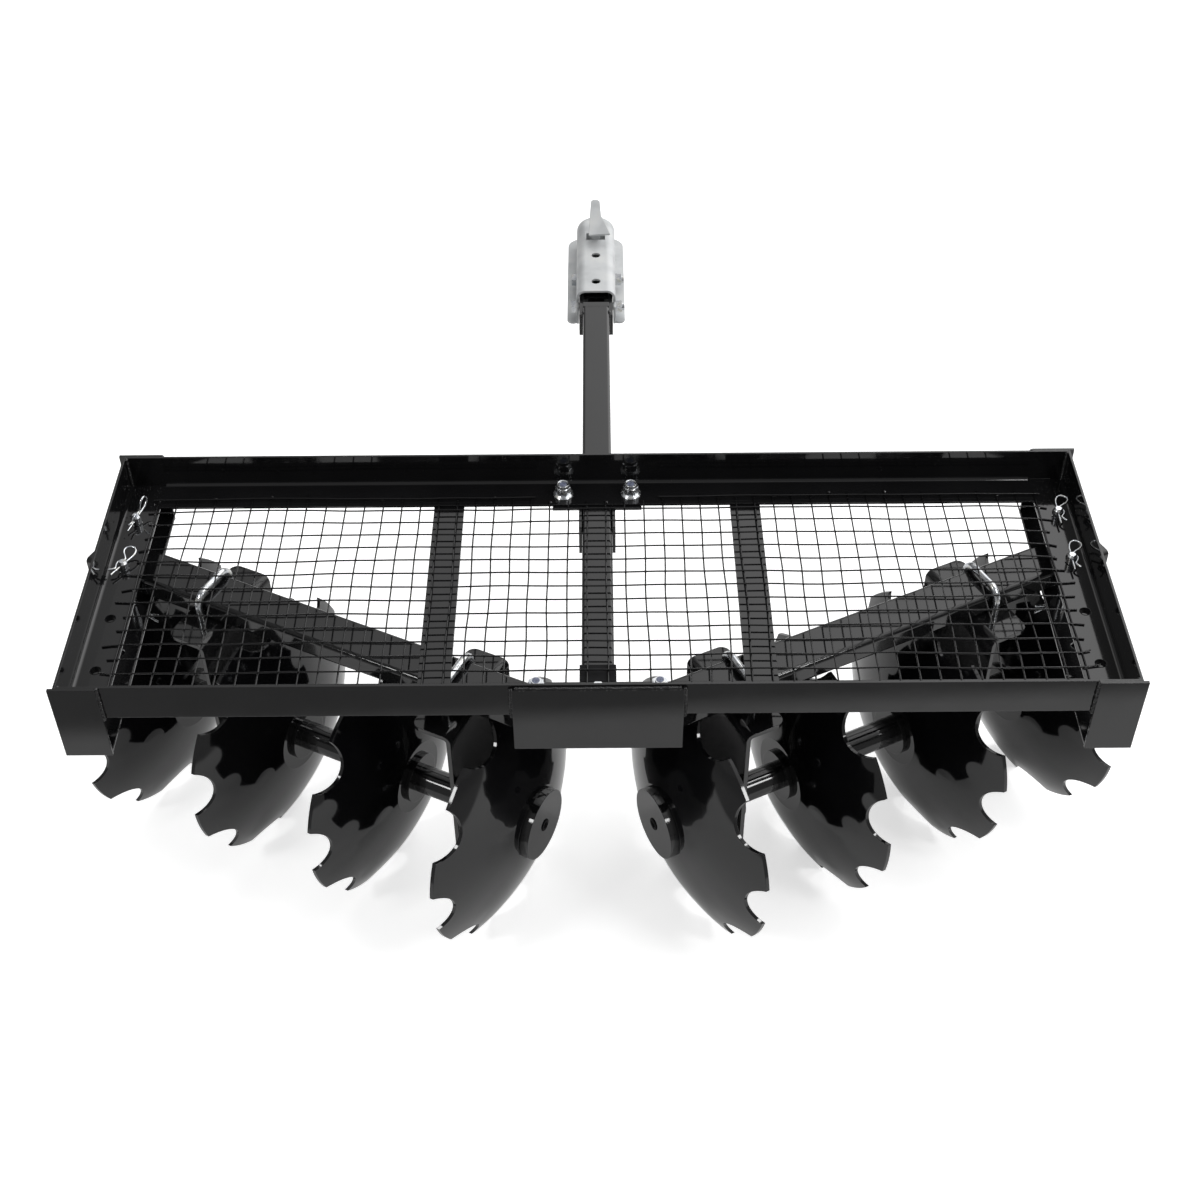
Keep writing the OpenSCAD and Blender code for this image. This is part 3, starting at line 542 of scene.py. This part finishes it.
grain_shape = bmesh.new()
bmesh.ops.create_icosphere(grain_shape, subdivisions=1, radius=0.9 * MM)
spatter = []
for s in (-1, 1):
    for _ in range(46):
        y = front - steel - 4 * MM - abs(dice.gauss(0, 28)) * MM
        x = s * (side - steel - 6 * MM - dice.uniform(0, 36) * MM)
        spatter.append(((x, y, deck + 0.2 * MM), (dice.uniform(-1, 1), dice.uniform(-1, 1), 1)))
    for _ in range(26):
        y = front - 12 * MM - abs(dice.gauss(0, 26)) * MM
        z = deck + dice.uniform(2, 34) * MM
        spatter.append(((s * (side - steel - 0.1 * MM), y, z), (-s, dice.uniform(-1, 1), 0)))
grow("weld_spatter", FASTENERS, marks("spatter_spots", spatter), "frame", "black_paint",
     Fastener=pattern("spatter_grain", grain_shape), Turn=6.0, Seed=9, Material=weld_enamel)


# Nuts, heads and thread ends

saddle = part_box("saddle_bolts")
saddle_flange = 13 * MM
saddle_x, saddle_y = saddle[1].x - saddle_flange, saddle[1].y - saddle_flange
saddle_spots = [((s * saddle_x, saddle_y, deck), UP) for s in (-1, 1)]
flange_nut = nut_shape("flange_nut", across=18.6, high=14.2, collar=3.6, flange=27.0, bore=12.2)
grow("saddle_nuts", FASTENERS, marks("saddle_nut_spots", saddle_spots), "frame", "zinc",
     Fastener=flange_nut, Turn=2.0, Seed=4, Material=zinc)

pivot_spots = [((s * pivot.x, pivot.y, deck), UP) for s in (-1, 1)]
pivot_nut = nut_shape("pivot_nut", across=18.8, high=10.5, collar=3.0)
grow("pivot_nuts", FASTENERS, marks("pivot_nut_spots", pivot_spots), "frame", "zinc",
     Fastener=pivot_nut, Turn=0.6, Seed=4, Material=zinc)


def thread_path(base, radius, length, step):
    """An upright helix for the crest of a screw thread."""
    turn_points = 14
    count = int(length / step * turn_points)
    path = []
    for k in range(count + 1):
        angle = math.pi + k * math.tau / turn_points
        rise = length * k / count
        path.append(Vector(base) + Vector((radius * math.cos(angle), radius * math.sin(angle), rise)))
    return path


thread_feet = [(s * pivot.x, pivot.y, deck + 9 * MM) for s in (-1, 1)]
threads = [thread_path(base, radius=5.85 * MM, length=6.4 * MM, step=1.75 * MM) for base in thread_feet]
grow("thread_crests", RODS, chains("thread_paths", threads), "frame", "zinc",
     Radius=0.55 * MM, Step=2.6 * MM, Sides=5, Wander=0.0, Wave=0.2, Material=zinc)

bolt_tops = [(saddle_x, saddle_y, saddle[1].z), (pivot.x, pivot.y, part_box("pivot_bolts")[1].z)]
bolt_ends = [((s * x, y, top - 0.1 * MM), UP) for s in (-1, 1) for x, y, top in bolt_tops]
lacquer_drop = turned_shape("bolt_end", [(4.8, 0), (4.8, 0.25), (4.2, 0.4), (2.0, 0.35)], 32)
grow("bolt_end_lacquer", FASTENERS, marks("bolt_end_spots", bolt_ends), "frame", "zinc",
     Fastener=lacquer_drop, Turn=1.0, Seed=1, Material=lacquer)


def along_gang(node, gang):
    """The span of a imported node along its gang, measured out from the pivot."""
    reach = [(gang.inverted() @ v.co).x for v in frame["nodes"][node].data.vertices]
    return min(reach), max(reach)


bolt_circle = 43 * MM
bearing_bolts = []
for word, gang in gangs:
    outward = gang.to_3x3() @ Vector((1, 0, 0))
    clamped = 2 * (along_gang(f"{word}_bearings", gang)[0] - along_gang(f"{word}_inner_hanger", gang)[0])
    for hanger in ("inner", "outer"):
        plate = along_gang(f"{word}_{hanger}_hanger", gang)[0]
        for k in range(4):
            angle = math.radians(45 + 90 * k)
            n, z = bolt_circle * math.cos(angle), axle_z + bolt_circle * math.sin(angle)
            bearing_bolts.append((gang @ Vector((plate + clamped, n, z)), outward))
            bearing_bolts.append((gang @ Vector((plate, n, z)), -outward))
bolt_head = nut_shape("bearing_bolt_head", across=13.0, high=6.0, collar=0.6)
grow("bearing_bolts", FASTENERS, marks("bearing_bolt_spots", bearing_bolts), "frame", "zinc",
     Fastener=bolt_head, Turn=3.0, Seed=8, Material=zinc)

# Socket screw heads on the axle ends, in flat black as painted shade for the dark recess at each end washer
head_rings = [(4.7, -0.2), (4.7, 0.9), (5.2, 1.4), (7.7, 1.4), (8.5, 0.7), (8.5, -0.2)]
screw_head = turned_shape("socket_screw_head", head_rings, 36, bored=True)
for word, gang in gangs:
    washer_face = along_gang(f"{word}_end_washers", gang)[0]
    axle_end = (gang @ Vector((washer_face, 0, axle_z)), gang.to_3x3() @ Vector((-1, 0, 0)))
    grow(f"{word}_axle_screw_head", FASTENERS, marks(f"{word}_axle_end", [axle_end]), f"{word}_gang",
         "black_paint", Fastener=screw_head, Turn=1.0, Seed=7, Material=shade_black)


# Flat spring under the coupler's roof that holds the latch shut, in flat black as painted shade under the
# coupler's top hole

def bent_strip(line, wide, thick):
    """A flat strip whose upper face follows a line of (y, z) points."""
    bm = bmesh.new()
    sections = []
    for i, (y, z) in enumerate(line):
        back, ahead = line[max(i - 1, 0)], line[min(i + 1, len(line) - 1)]
        length = math.hypot(ahead[0] - back[0], ahead[1] - back[1])
        low_y = y + thick * (ahead[1] - back[1]) / length
        low_z = z - thick * (ahead[0] - back[0]) / length
        corners = [(-wide / 2, y, z), (wide / 2, y, z), (wide / 2, low_y, low_z), (-wide / 2, low_y, low_z)]
        sections.append([bm.verts.new(c) for c in corners])
    for a, b in zip(sections, sections[1:]):
        for k in range(4):
            bm.faces.new((a[k], a[(k + 1) % 4], b[(k + 1) % 4], b[k]))
    bm.faces.new(sections[0][::-1])
    bm.faces.new(sections[-1])
    return bm


coupler_sheet = 3.5 * MM
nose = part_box("coupler_body")[1].y
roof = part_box("coupler_body")[1].z - coupler_sheet
# Back from the nose and down from the roof, in mm
leaf_line = [(-152, -1.2), (-149, 0), (-97, 0), (-90, -1), (-84, -4), (-79.5, -9), (-76.5, -16), (-77.5, -20)]
leaf = bent_strip([(nose + y * MM, roof + z * MM) for y, z in leaf_line], wide=26 * MM, thick=2.5 * MM)
latch_spring = pattern("latch_spring", leaf)
scene.collection.objects.link(latch_spring)
latch_spring.data.materials.append(shade_black)
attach(latch_spring, "frame")


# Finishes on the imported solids

def dress(finish, *nodes):
    """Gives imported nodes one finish."""
    for name in nodes:
        slots = frame["nodes"][name].data.materials
        slots.clear()
        slots.append(finish)


zinc_nodes = ("saddle_bolts", "coupler_bolts", "pivot_bolts", "lock_pins", "left_u_bolts", "right_u_bolts")
disc_nodes = [n for n in frame["nodes"] if "_disc_" in n]
dress(enamel, *[n for n in frame["nodes"] if n not in zinc_nodes and n not in disc_nodes])
dress(zinc, *zinc_nodes)
dress(disc_enamel, *disc_nodes)
dress(galvanised, "coupler_body", "coupler_latch")
# The drawbar's rear saddle in flat black, as painted shade
dress(shade_black, "drawbar_rear_saddle")
dress(wire_enamel, "deck_long_wires", "deck_cross_wires")


# Stage: white floor, sky that grows towards the front right, softboxes behind on both sides and high right

def floor_finish():
    """Matt white studio paper laid on a grey floor. The paper ends near the picture's foot, so that the gloss
    paint mirrors white beyond that edge and grey before it. The camera sees white throughout, with the
    machine's soft shadow."""
    paper_edge = (-0.935, -0.901)
    edge_slant = (0.043, 1.0, 0.0)
    grey_lift, paper_lift, mirror_lift = 0.8, 0.6, 0.15
    finish, tree, shader, place = new_finish("matt_white_paper")
    fibre = put(tree, "ShaderNodeTexNoise", {"Vector": place, "Scale": cycles(400), "Detail": 2.0})
    paper = ramp(put(tree, "ShaderNodeValToRGB", {"Fac": fibre.outputs["Fac"]}),
                 (0.3, paint_chip("#e4e4e4")), (0.7, paint_chip("#e8e8e8")))
    along = put(tree, "ShaderNodeVectorMath", {0: place, 1: edge_slant}, operation="DOT_PRODUCT")
    sheet = put(tree, "ShaderNodeMapRange", {"Value": along.outputs["Value"],
                                             "From Min": paper_edge[0], "From Max": paper_edge[1]})
    tone = put(tree, "ShaderNodeMix", {"Factor": sheet.outputs["Result"], "A": paint_chip("#999999"),
                                       "B": paper.outputs["Color"]}, data_type="RGBA")
    tree.links.new(tone.outputs[2], shader.inputs["Base Color"])
    shader.inputs["Roughness"].default_value = 0.9
    shader.inputs["Specular IOR Level"].default_value = 0.0
    shader.inputs["Emission Color"].default_value = paint_chip("#ffffff")
    ray = put(tree, "ShaderNodeLightPath").outputs
    lift = put(tree, "ShaderNodeMapRange", {"Value": sheet.outputs["Result"],
                                            "To Min": grey_lift, "To Max": paper_lift})
    seen = put(tree, "ShaderNodeMath", {0: ray["Is Camera Ray"], 1: lift.outputs["Result"]},
               operation="MULTIPLY")
    thrown = put(tree, "ShaderNodeMath", {0: ray["Is Glossy Ray"], 1: ray["Is Transmission Ray"]},
                 operation="MAXIMUM")
    mirrored = put(tree, "ShaderNodeMath", {0: thrown.outputs["Value"], 1: sheet.outputs["Result"]},
                   operation="MULTIPLY")
    glow = put(tree, "ShaderNodeMath", {0: mirrored.outputs["Value"], 1: mirror_lift,
                                        2: seen.outputs["Value"]}, operation="MULTIPLY_ADD")
    tree.links.new(glow.outputs["Value"], shader.inputs["Emission Strength"])
    return finish


floor_half, floor_z = 14.0, -0.0006
floor_corners = [(x * floor_half, y * floor_half, floor_z) for x, y in ((-1, -1), (1, -1), (1, 1), (-1, 1))]
floor_mesh = bpy.data.meshes.new("studio_floor")
floor_mesh.from_pydata(floor_corners, [], [(0, 1, 2, 3)])
floor = bpy.data.objects.new("studio_floor", floor_mesh)
scene.collection.objects.link(floor)
floor_mesh.materials.append(floor_finish())

sky_window = Vector((0.63, 0.53, 0.57)).normalized()
window_rim, window_falloff = 0.4, 1.9
sky_low, sky_high = 0.36, 2.8
world = bpy.data.worlds.new("studio")
scene.world = world
world.use_nodes = True
sky = world.node_tree
direction = put(sky, "ShaderNodeTexCoord").outputs["Generated"]
facing = put(sky, "ShaderNodeVectorMath", {0: direction, 1: sky_window}, operation="DOT_PRODUCT")
nearness = put(sky, "ShaderNodeMapRange", {"Value": facing.outputs["Value"], "From Min": window_rim})
falloff = put(sky, "ShaderNodeMath", {0: nearness.outputs["Result"], 1: window_falloff}, operation="POWER")
level = put(sky, "ShaderNodeMapRange", {"Value": falloff.outputs["Value"],
                                        "To Min": sky_low, "To Max": sky_high})
backdrop = sky.nodes["Background"]
backdrop.inputs["Color"].default_value = paint_chip("#ffffff")
sky.links.new(level.outputs["Result"], backdrop.inputs["Strength"])


def softbox(name, toward, size, energy):
    """A square softbox 3.2 m from the middle of the machine, towards one direction."""
    middle, distance = Vector((0, -0.3, 0.3)), 3.2
    light = bpy.data.lights.new(name, "AREA")
    light.shape = "SQUARE"
    light.size = size
    light.energy = energy
    lamp = bpy.data.objects.new(name, light)
    toward = Vector(toward).normalized()
    lamp.matrix_world = (Matrix.Translation(middle + distance * toward)
                         @ toward.to_track_quat("Z", "Y").to_matrix().to_4x4())
    lamp.visible_camera = False
    scene.collection.objects.link(lamp)


softbox("left_softbox", (-0.61, -0.40, 0.68), size=0.6, energy=20.0)
softbox("right_softbox", (0.62, -0.42, 0.66), size=0.6, energy=20.0)
softbox("high_softbox", (0.43, 0.0, 0.90), size=0.4, energy=8.0)

# Camera at the photo's angle: width and focal length in picture pixels, turns in degrees
picture_width, focal_length = 1200, 1745.7
pan, look_down, roll = 0.04, 43.34, -0.45
camera = bpy.data.cameras.new("camera")
camera.sensor_width = 36.0
camera.lens = focal_length / picture_width * camera.sensor_width
viewer = bpy.data.objects.new("camera", camera)
viewer.matrix_world = (Matrix.Translation((4.2 * MM, rear - 1408.3 * MM, rim + 1464.5 * MM))
                       @ Matrix.Rotation(math.radians(pan), 4, "Z")
                       @ Matrix.Rotation(math.radians(90 - look_down), 4, "X")
                       @ Matrix.Rotation(math.radians(roll), 4, "Z"))
scene.collection.objects.link(viewer)
scene.camera = viewer
scene.view_settings.view_transform = "Standard"

bpy.context.view_layer.update()
